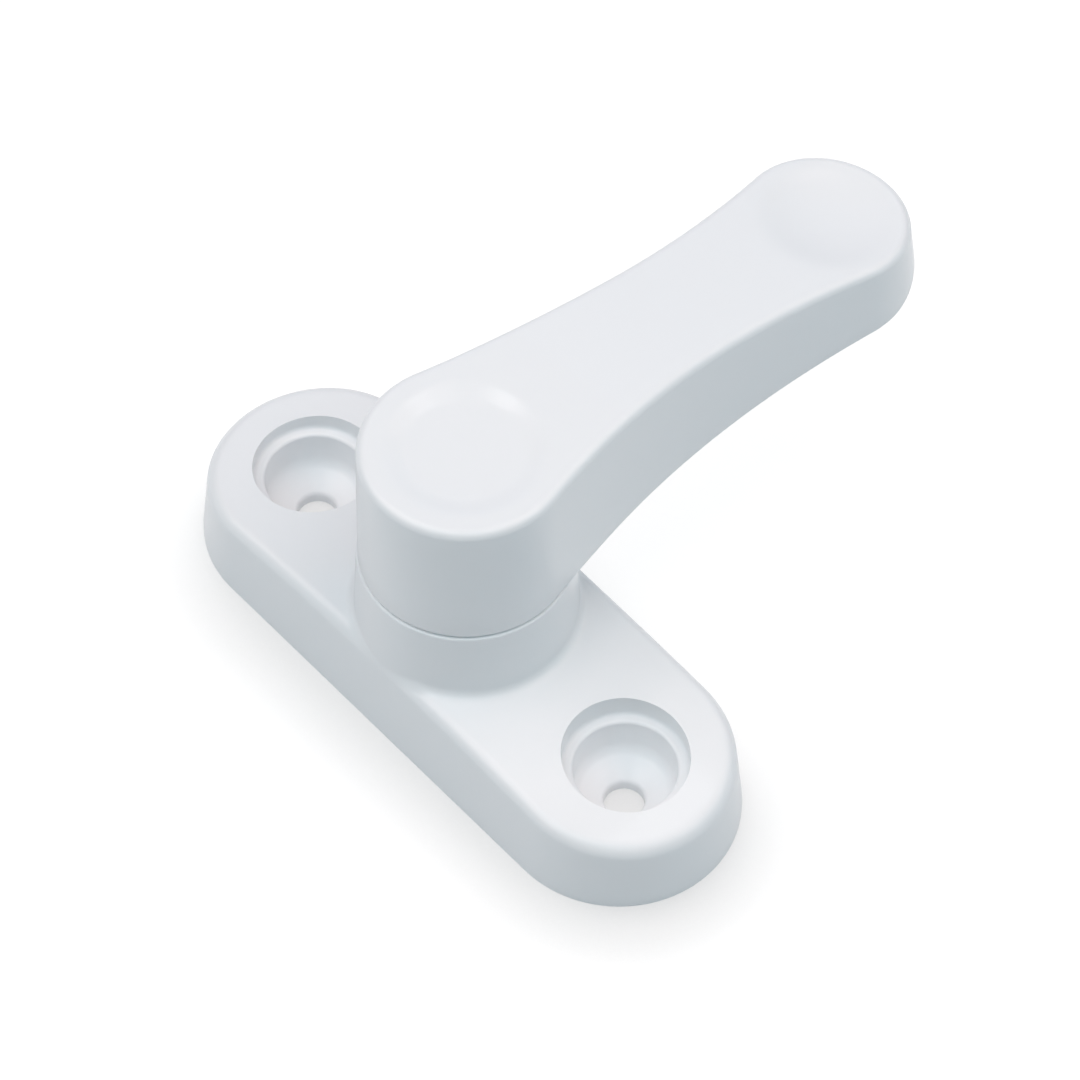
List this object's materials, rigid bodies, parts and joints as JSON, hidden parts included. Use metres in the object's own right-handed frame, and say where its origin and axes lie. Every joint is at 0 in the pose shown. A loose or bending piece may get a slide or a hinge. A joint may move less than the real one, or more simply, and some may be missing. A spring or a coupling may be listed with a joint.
{
  "type": "window safety lock",
  "caption": "Surface-mounted swing lock for a window: a waisted lever turns on a raised boss of an oblong base plate with countersunk screw recesses.",
  "frame": {"origin": "on the pivot's axis in the plane of the mounting face, midway between the two screw holes", "axes": "+Z away from the mounting face along the pivot's axis, +X along the base plate through both screw holes, +Y along the lever at rest"},
  "size_m": [0.06, 0.0596, 0.0309],
  "materials": {
    "base_paint": "gloss white powder coat",
    "lever_paint": "gloss white powder coat",
    "nylon": "natural nylon",
    "spring_steel": "spring steel",
    "zinc_steel": "bright zinc plate"
  },
  "bodies": {
    "base": {"base_plate": "base_paint", "slip_washer": "nylon", "wave_washer": "spring_steel"},
    "lever": {"lever": "lever_paint", "retaining_washer": "zinc_steel", "retaining_screw": "zinc_steel"}
  },
  "joints": [
    {"name": "lever_swing", "type": "hinge", "parent": "base", "child": "lever", "pos_m": [0, 0, 0.0167], "axis": [0, 0, 1], "continuous": true}
  ]
}
